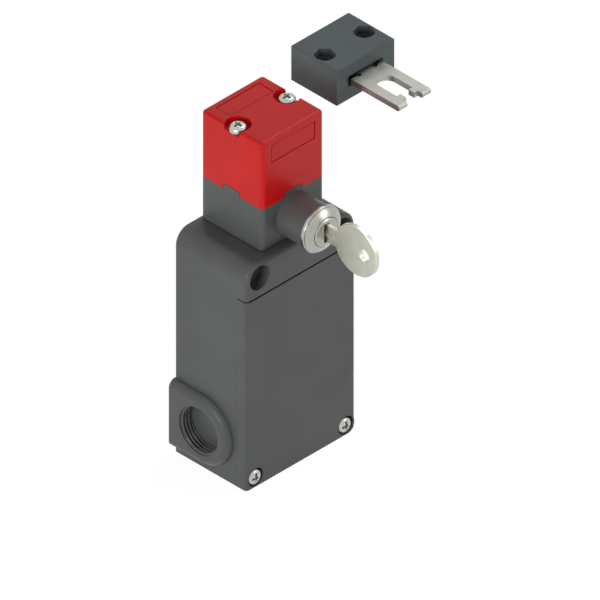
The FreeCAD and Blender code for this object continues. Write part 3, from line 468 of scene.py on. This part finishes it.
COVER_FILLER = 4.3 * MM     # closes the cover's old screw recess
RIM_RADIUS = 3.88 * MM      # the recess that takes its place
RIM_LIFT = 0.3 * MM
CORNER_RADIUS = 4.2 * MM
CORNER_PAST = 3 * MM        # how far its cutter reaches past the cover's back
TOP_EDGE = 0.45 * MM
GROOVE = {"ends": 1.6 * MM, "front": 0.2 * MM, "back": 2.4 * MM, "deep": 1.6 * MM}

HEAD_FILLER = 4.05 * MM
FILLER_SINKS = 0.2 * MM
HEAD_RAISE = 2.0 * MM
RECESS_RADIUS = 5.0 * MM
SHANK_PLAY = 0.15 * MM

CAP_TRIM = 0.12 * MM
CAP_LIFT = 0.28 * MM
CAP_THICK = 1.55 * MM
CAP_SINKS = 0.5 * MM

NUT_RADIUS = 4.05 * MM
NUT_DEEP = 3.5 * MM
NUT_FILLER = 4.4 * MM       # closes the actuator's old recess
NUT_FILLER_SINKS = 0.3 * MM


def cover_detail():
    """New screw recesses at the cover's foot, a round right corner, and a bevel and groove at the top."""
    low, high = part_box("cover")
    screw_low, screw_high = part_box("cover_screws")
    level = (screw_low.z + screw_high.z) / 2
    seat = screw_low.y + head_height(M4)
    fillers, cutters = [], []
    for x in centres(screw_low.x, screw_high.x, M4, 2):
        disc = clipped_disc((x, level), COVER_FILLER, (low.x, low.z), (high.x, high.z))
        fillers.append(along_y(disc, low.y, seat))
        recess = lathe([(RIM_RADIUS, low.y - PAST), (RIM_RADIUS, seat)])
        cutters.append(moved(recess, Matrix.Translation((x, 0, level + RIM_LIFT)) @ TO_Y))

    middle = (high.x - CORNER_RADIUS, low.z + CORNER_RADIUS)
    corner = arc(middle, CORNER_RADIUS, -90, 0, 12)
    corner += [(high.x + PAST, middle[1]), (high.x + PAST, -PAST), (middle[0], -PAST)]
    cutters.append(along_y(corner, low.y - PAST, high.y + CORNER_PAST))

    bevel = [(low.y - PAST, high.z - TOP_EDGE - PAST), (low.y + TOP_EDGE + PAST, high.z + PAST),
             (low.y - PAST, high.z + PAST)]
    cutters.append(along_x(bevel, low.x - PAST, high.x + PAST))
    cutters.append(block((low.x + GROOVE["ends"], low.y + GROOVE["front"], high.z - GROOVE["deep"]),
                         (high.x - GROOVE["ends"], low.y + GROOVE["back"], high.z + PAST)))
    refined("cover", cutters, fillers)


def upper_head_detail():
    """Raises the seats of the head screws, so that their heads come up to the top face."""
    low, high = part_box("upper_head")
    screw_low, screw_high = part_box("head_screws")
    middle = (screw_low.y + screw_high.y) / 2
    old_seat = screw_high.z - head_height(M4)
    seat = old_seat + HEAD_RAISE
    hole = M4["shank"] + SHANK_PLAY
    fillers, cutters = [], []
    for x in centres(screw_low.x, screw_high.x, M4, 2):
        disc = clipped_disc((x, middle), HEAD_FILLER, low, high)
        fillers.append(prism(disc, old_seat - FILLER_SINKS, seat))
        bore = lathe([(hole, old_seat - PAST), (hole, seat),
                      (RECESS_RADIUS, seat), (RECESS_RADIUS, high.z + PAST)])
        cutters.append(moved(bore, Matrix.Translation((x, middle, 0))))
    refined("upper_head", cutters, fillers)


def plug_detail(node, facing):
    """Widens the gap round a slot plug's cap and brings the cap nearer to the head's face."""
    low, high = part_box(node)
    middle, half = (low + high) / 2, (high - low) / 2
    if facing.y:
        across, face = half.z, Vector((middle.x, low.y, middle.z))
    else:
        across, face = half.y, Vector((middle.x, middle.y, high.z))
    outer, inner = (half.x + PAST, across + PAST), (half.x - CAP_TRIM, across - CAP_TRIM)
    place = turned_to(facing, face)
    gap = moved(frame_prism(outer, inner, -CAP_THICK, PAST), place)
    lift = moved(prism(rectangle(*inner), -CAP_SINKS, CAP_LIFT), place)
    refined(node, [gap], [lift])


def actuator_detail():
    """Nut recesses in the actuator's top: half a hexagon at the back, rounded towards the front."""
    low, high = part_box("actuator_block")
    mount = MOUNTS["actuator_holes"]
    spread, radius = mount["dims"]["spacing_x_mm"] * MM / 2, mount["dims"]["hole_r_mm"] * MM
    seat = high.z - NUT_DEEP
    outline = arc((0, 0), NUT_RADIUS, 15, 75, 1) + arc((0, 0), NUT_RADIUS, 135, 315, 24)
    fillers, cutters = [], []
    for side in (-1, 1):
        place = Matrix.Translation((mount["pos_m"][0] + side * spread, mount["pos_m"][1], 0))
        filler = lathe([(NUT_FILLER, seat - NUT_FILLER_SINKS), (NUT_FILLER, high.z)])
        fillers.append(moved(filler, place))
        cutters.append(moved(prism(outline, seat, high.z + PAST), place))
        cutters.append(moved(lathe([(radius, low.z - PAST), (radius, high.z)]), place))
    refined("actuator_block", cutters, fillers)


# ---------------------------------------------------------------- screws

# Cross recess: reach and half width are shares of the head's radius, the depth is a share of its height,
# and the taper is the size of the bottom as a share of the top.
CROSS = {"reach": 0.64, "half": 0.17, "deep": 0.62, "taper": 0.5}
CROSS_PAST = 0.2 * MM       # how far the cutter reaches past the crown

HEAD_BEVEL = 0.15 * MM
HEAD_STUB = 0.5 * MM        # the head goes on into the shank
CROWN_ANGLES = (0, 12, 25, 40, 55, 68, 80, 87)
CROWN_POWERS = (0.7, 0.85)  # for radius and height; under 1 makes the crown fuller than an ellipse
CROWN_TIP = 0.05 * MM

SHANK_TOP = -0.4 * MM       # within the head's stub
THREAD_DEEP = 0.6           # share of the pitch
THREAD_SIDES = 16
THREAD_STEPS = 6            # rings a turn
TIP_SHARE = 0.6
TIP_LENGTH = 0.1 * MM


def cross_cutter(head, depth, top):
    """Tapered cross that cuts a screwdriver recess."""
    reach, half = CROSS["reach"] * head, CROSS["half"] * head
    outline = []
    for quarter in range(4):
        turn = Matrix.Rotation(quarter * math.pi / 2, 2)
        outline += [tuple(turn @ Vector(corner)) for corner in ((half, half), (half, reach), (-half, reach))]
    return prism(outline, top - depth, top + CROSS_PAST, CROSS["taper"])


def pan_head(size):
    """Cross-recessed pan head whose seat is at height 0."""
    head, rim, shank, top = size["head"], size["rim"], size["shank"], head_height(size)
    profile = [(shank, -HEAD_STUB), (shank, 0), (head - HEAD_BEVEL, 0), (head, HEAD_BEVEL)]
    for angle in CROWN_ANGLES:
        turn = math.radians(angle)
        profile.append((head * math.cos(turn) ** CROWN_POWERS[0],
                        rim + size["dome"] * math.sin(turn) ** CROWN_POWERS[1]))
    profile.append((CROWN_TIP, top))
    return carved(lathe(profile), [cross_cutter(head, CROSS["deep"] * top, top)])


def screw_shank(size, length, threaded):
    """Shank down from the head, with a thread on its end and a short blunt tip."""
    shank, pitch = size["shank"], size["pitch"]
    root = shank - THREAD_DEEP * pitch
    start = threaded - length
    steps = round(threaded / pitch * THREAD_STEPS)
    rings = []
    for height in [SHANK_TOP, start] + [start - threaded * k / steps for k in range(1, steps + 1)]:
        ring = []
        for turn in turns(THREAD_SIDES):
            radius = thread_radius(turn, height, pitch, root, shank) if height < start else shank
            ring.append((radius * math.cos(turn), radius * math.sin(turn), height))
        rings.append(ring)
    rings.append([(TIP_SHARE * x, TIP_SHARE * y, -length - TIP_LENGTH) for x, y, _ in rings[-1]])
    return ring_surface(rings)


def screw_set(node, slot, direction, places, size, threaded):
    """Screws that stand for a CAD node; places holds each seat and length."""
    parts = []
    for place, length in places:
        screw = merged((pan_head(size), screw_shank(size, length, threaded)))
        parts.append(moved(screw, turned_to(direction, place)))
    piece(merged(parts), node + "_detail", slot, body_of(node), node)


def front_screws(node, slot, size, threaded, columns=2, rows=1):
    """Screws with their heads to the front, in the box of the node they stand for."""
    low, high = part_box(node)
    seat = low.y + head_height(size)
    places = [((x, seat, z), high.y - seat)
              for z in centres(low.z, high.z, size, rows)
              for x in centres(low.x, high.x, size, columns)]
    screw_set(node, slot, FRONT, places, size, threaded)


def head_screws():
    """The two long screws down through the head, on their raised seats."""
    low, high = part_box("head_screws")
    seat = high.z - head_height(M4) + HEAD_RAISE
    middle = (low.y + high.y) / 2
    places = [((x, middle, seat), seat - low.z) for x in centres(low.x, high.x, M4, 2)]
    screw_set("head_screws", "bright_steel", UP, places, M4, threaded=14 * MM)


def screws():
    """Every screw of the switch."""
    front_screws("cover_screws", "bright_steel", M4, threaded=9 * MM)
    head_screws()
    front_screws("earth_screw", "brass", M4, threaded=2 * MM, columns=1)
    front_screws("block_screws", "bright_steel", M3, threaded=4 * MM)
    front_screws("terminal_screws", "bright_steel", M3, threaded=4 * MM, rows=4)


# ---------------------------------------------------------------- conduit threads

ENTRY_PITCH = 1.5 * MM
ENTRY_DEEP = 0.85 * MM
ENTRY_WALL = 0.1 * MM       # how far the sleeve goes into the housing
ENTRY_STEPS = 8             # rings a turn
MOUTH_DROP = 0.05 * MM
MOUTH_FADE = 0.9 * MM       # the thread grows to its full depth over about this height
MOUTH_SHARE = 0.05          # and has this share of it at height 0


def entry_thread(radius, length):
    """Threaded sleeve that lines a conduit entry; its mouth is at height 0 and it goes down from there."""
    steps = round(length / ENTRY_PITCH * ENTRY_STEPS)
    crest = radius - ENTRY_DEEP
    rings = []
    for step in range(steps + 1):
        height = -MOUTH_DROP - (length - MOUTH_DROP) * step / steps
        fade = min(1, -height / MOUTH_FADE + MOUTH_SHARE)
        ring = []
        for turn in turns(FINE):
            shape = thread_radius(turn, height, ENTRY_PITCH, radius, crest)
            here = radius + (shape - radius) * fade
            ring.append((here * math.cos(turn), here * math.sin(turn), height))
        rings.append(ring)
    wall = radius + ENTRY_WALL
    for height in (-length, -MOUTH_DROP):
        rings.append([(wall * math.cos(turn), wall * math.sin(turn), height) for turn in turns(FINE)])
    return ring_surface(rings, closed=True)


def entries():
    """A thread in each conduit entry of the record."""
    for name, mount in MOUNTS.items():
        if mount["kind"] != "threaded_hole":
            continue
        sleeve = entry_thread(mount["dims"]["r_mm"] * MM, mount["dims"]["length_mm"] * MM)
        sleeve = moved(sleeve, turned_to(Vector(mount["axis"]), mount["pos_m"]))
        piece(sleeve, name + "_thread", "body_grey", "switch_body")


# ---------------------------------------------------------------- lock

# The core; its face is wider than its shank.
FACE_RADIUS = 5.9 * MM
FACE_DEEP = 2.0 * MM
FACE_BEVEL = {"in": 0.5 * MM, "back": 0.4 * MM}
SHANK_RADIUS = 5.6 * MM
CORE_PLAY = 0.05 * MM
CORE_TIP = 0.02 * MM

# The keyway; the blade has more room to its left than to its right and at its end.
KEYWAY_HALF = 4.0 * MM
KEYWAY_LEFT = 0.6 * MM
KEYWAY_PLAY = 0.2 * MM

# The bezel, from the lip round the core out to the flange and back to the tube.
LIP_GAP = 0.12 * MM
LIP_TOP = -0.45 * MM
LIP_BEVEL = 0.1 * MM
CONE_IN = 0.3 * MM
CONE_TOP = -0.4 * MM
CONE_DROP = 1.95 * MM
CONE_SWELL = 0.25           # share of the drop that comes towards the cone's foot
CONE_STEPS = 8
RING_IN = 0.4 * MM
NECK_IN = 0.25 * MM
NECK_RISE = 0.08 * MM
FLANGE_THICK = 1.4 * MM
FLANGE_ROUND = 0.45 * MM
TUBE_RADIUS = 7.4 * MM


def lock_axis():
    """Where the lock's axis meets its front face, and the radius of its flange."""
    low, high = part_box("lock_barrel")
    return Vector(((low.x + high.x) / 2, low.y, (low.z + high.z) / 2)), (high.x - low.x) / 2


def bezel():
    """Rounded flange, neck and swelling cone up to the core; heights run back from the face."""
    face, flange = lock_axis()
    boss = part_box("lower_head")[0].y - face.y
    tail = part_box("lock_barrel")[1].y - face.y
    seat = FLANGE_THICK - boss
    ring, lip = flange - RING_IN, FACE_RADIUS + LIP_GAP
    profile = [(lip, -FACE_DEEP), (lip, LIP_TOP - LIP_BEVEL), (lip + LIP_BEVEL, LIP_TOP)]
    for step in range(CONE_STEPS + 1):
        share = step / CONE_STEPS
        fall = (1 - CONE_SWELL) * share + CONE_SWELL * share ** 3
        profile.append((lip + CONE_IN + (ring - lip - CONE_IN) * share, CONE_TOP - CONE_DROP * fall))
    profile += [(ring - NECK_IN, seat + NECK_RISE), (ring - NECK_IN, seat)]
    profile += arc((flange - FLANGE_ROUND, seat - FLANGE_ROUND), FLANGE_ROUND, 90, 0, 4)
    profile += [(flange, -boss), (TUBE_RADIUS, -boss), (TUBE_RADIUS, -tail),
                (SHANK_RADIUS + CORE_PLAY, -tail), (SHANK_RADIUS + CORE_PLAY, -FACE_DEEP)]
    whole = moved(lathe(profile, closed=True, segments=FINE), turned_to(FRONT, face))
    piece(whole, "lock_barrel_detail", "chrome", body_of("lock_barrel"), "lock_barrel")


def core():
    """Turning core: bevelled face, shank, and a keyway that is wider than the blade on one side."""
    face, _ = lock_axis()
    low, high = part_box("lock_plug")
    key_low, key_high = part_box("key")
    length, slot_end = high.y - low.y, -(key_high.y - low.y) - KEYWAY_PLAY
    back = CORE_PLAY - FACE_DEEP
    profile = [(CORE_TIP, 0), (FACE_RADIUS - FACE_BEVEL["in"], 0), (FACE_RADIUS, -FACE_BEVEL["back"]),
               (FACE_RADIUS, back), (SHANK_RADIUS, back), (SHANK_RADIUS, -length), (CORE_TIP, -length)]
    keyway = block((key_low.x - face.x - KEYWAY_LEFT, -KEYWAY_HALF, slot_end),
                   (key_high.x - face.x + KEYWAY_PLAY, KEYWAY_HALF, PAST))
    whole = moved(carved(lathe(profile, segments=FINE), [keyway]), turned_to(FRONT, face))
    piece(whole, "lock_plug_detail", "chrome", body_of("lock_plug"), "lock_plug")


# ---------------------------------------------------------------- return spring

SPRING_WIRE = 0.35 * MM     # radius of the wire
SPRING_TURNS = 5
SPRING_STEPS = 28           # rings a turn
SPRING_SIDES = 8


def spring():
    """Round-wire spring under the carrier; it stretches as the plunger rises."""
    low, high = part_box("return_spring")
    middle = (low + high) / 2
    radius = (high.x - low.x) / 2 - SPRING_WIRE
    tall = high.z - low.z - 2 * SPRING_WIRE
    steps = SPRING_TURNS * SPRING_STEPS
    rings = []
    for step in range(steps + 1):
        turn = 2 * math.pi * SPRING_TURNS * step / steps
        out = Vector((math.cos(turn), math.sin(turn), 0))
        level = low.z + SPRING_WIRE + tall * step / steps
        centre = Vector((middle.x, middle.y, level)) + out * radius
        rings.append([centre + SPRING_WIRE * (math.cos(around) * out + math.sin(around) * UP)
                      for around in turns(SPRING_SIDES)])
    item = piece(ring_surface(rings), "return_spring_detail", "spring_steel", None, "return_spring")
    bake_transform(item, body_of("contact_block_base"), body_of("contact_carrier"),
             start=(middle.x, middle.y, low.z + 2 * SPRING_WIRE),
             end=(middle.x, middle.y, high.z - 2 * SPRING_WIRE))


# ---------------------------------------------------------------- stage

VIEW_AZIMUTH = math.radians(-45)
VIEW_ELEVATION = math.atan(1 / math.sqrt(2))
VIEW_WIDTH = 217.7 * MM
VIEW_DISTANCE = 1.2
VIEW_CLIP = (0.01, 20)
VIEW_AIM = {"x": 17.9 * MM, "z": 53.2 * MM}

FLOOR_SIZE = 12
FLOOR_COLOUR = (0.9, 0.9, 0.9, 1)
FLOOR_ROUGHNESS = 0.8
FLOOR_WHITE = 1.1           # strength of the white that is seen directly
FLOOR_GLOW = 0.85           # that white's share; the rest is the lit floor, with the shadow
AMBIENT = 0.27

# Name of each lamp, its place from the aim point, its size and its energy.
LAMPS = (
    ("left", (-1.0, -0.25, 0.35), 0.5, 5),
    ("front", (0.55, -0.85, 0.45), 0.5, 1.8),
    ("top", (0.7, 0.15, 1.0), 0.4, 3),
)


def aim_point():
    """Where the view's centre line passes the body's middle plane in depth."""
    low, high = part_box("housing")
    return Vector((VIEW_AIM["x"], (low.y + high.y) / 2, VIEW_AIM["z"]))


def look_along(item, direction):
    """Turns a camera or a lamp to a direction."""
    item.rotation_mode = "QUATERNION"
    item.rotation_quaternion = direction.to_track_quat("-Z", "Y")


def camera():
    """Parallel camera on the photograph's side."""
    data = bpy.data.cameras.new("camera")
    data.type = "ORTHO"
    data.ortho_scale = VIEW_WIDTH
    data.clip_start, data.clip_end = VIEW_CLIP
    item = bpy.data.objects.new("camera", data)
    bpy.context.scene.collection.objects.link(item)
    flat = math.cos(VIEW_ELEVATION)
    back = Vector((math.sin(VIEW_AZIMUTH) * flat, -math.cos(VIEW_AZIMUTH) * flat, math.sin(VIEW_ELEVATION)))
    item.location = aim_point() + back * VIEW_DISTANCE
    look_along(item, -back)
    bpy.context.scene.camera = item


def area_light(name, offset, size, energy):
    """Round soft lamp, turned to the aim point."""
    data = bpy.data.lights.new(name, "AREA")
    data.shape = "DISK"
    data.size = size
    data.energy = energy
    item = bpy.data.objects.new(name, data)
    bpy.context.scene.collection.objects.link(item)
    aim = aim_point()
    item.location = aim + Vector(offset)
    look_along(item, aim - item.location)


def rays(tree, *kinds):
    """1 for rays of any of these kinds, else 0."""
    path = tree.nodes.new("ShaderNodeLightPath")
    result = path.outputs[kinds[0]]
    for kind in kinds[1:]:
        either = tree.nodes.new("ShaderNodeMath")
        either.operation = "MAXIMUM"
        tree.links.new(result, either.inputs[0])
        tree.links.new(path.outputs[kind], either.inputs[1])
        result = either.outputs[0]
    return result


def floor():
    """Floor that is nearly white where it is seen directly, and keeps a faint shadow of the switch."""
    bpy.ops.mesh.primitive_plane_add(size=FLOOR_SIZE, location=(0, 0, 0))
    item = bpy.context.object
    item.name = "floor"
    made = Nodes("floor")
    made.set(Base_Color=FLOOR_COLOUR, Roughness=FLOOR_ROUGHNESS)
    white = made.add("ShaderNodeEmission")
    white.inputs["Strength"].default_value = FLOOR_WHITE
    share = made.add("ShaderNodeMath", operation="MULTIPLY")
    share.inputs[1].default_value = FLOOR_GLOW
    mixed = made.add("ShaderNodeMixShader")
    made.link(rays(made.tree, "Is Camera Ray", "Is Glossy Ray", "Is Transmission Ray"), share.inputs[0])
    made.link(share.outputs[0], mixed.inputs["Fac"])
    made.link(made.shader.outputs["BSDF"], mixed.inputs[1])
    made.link(white.outputs["Emission"], mixed.inputs[2])
    made.link(mixed.outputs[0], made.tree.nodes["Material Output"].inputs["Surface"])
    item.data.materials.append(made.material)


def world():
    """White to the camera and to mirrors; a dimmer, even light on everything else."""
    item = bpy.data.worlds.new("studio")
    item.use_nodes = True
    bpy.context.scene.world = item
    tree = item.node_tree
    background = tree.nodes["Background"]
    background.inputs["Color"].default_value = (1, 1, 1, 1)
    level = tree.nodes.new("ShaderNodeMapRange")
    level.inputs["To Min"].default_value = AMBIENT
    level.inputs["To Max"].default_value = 1.0
    tree.links.new(rays(tree, "Is Camera Ray", "Is Glossy Ray"), level.inputs["Value"])
    tree.links.new(level.outputs["Result"], background.inputs["Strength"])


def studio():
    """Camera, floor, world and lamps."""
    camera()
    floor()
    world()
    for lamp in LAMPS:
        area_light(*lamp)
    bpy.context.scene.view_settings.view_transform = "Standard"


def main():
    """The whole scene."""
    studio()
    dress()
    cover_detail()
    upper_head_detail()
    plug_detail("front_slot_plug", FRONT)
    plug_detail("top_slot_plug", UP)
    actuator_detail()
    screws()
    entries()
    bezel()
    core()
    spring()


main()
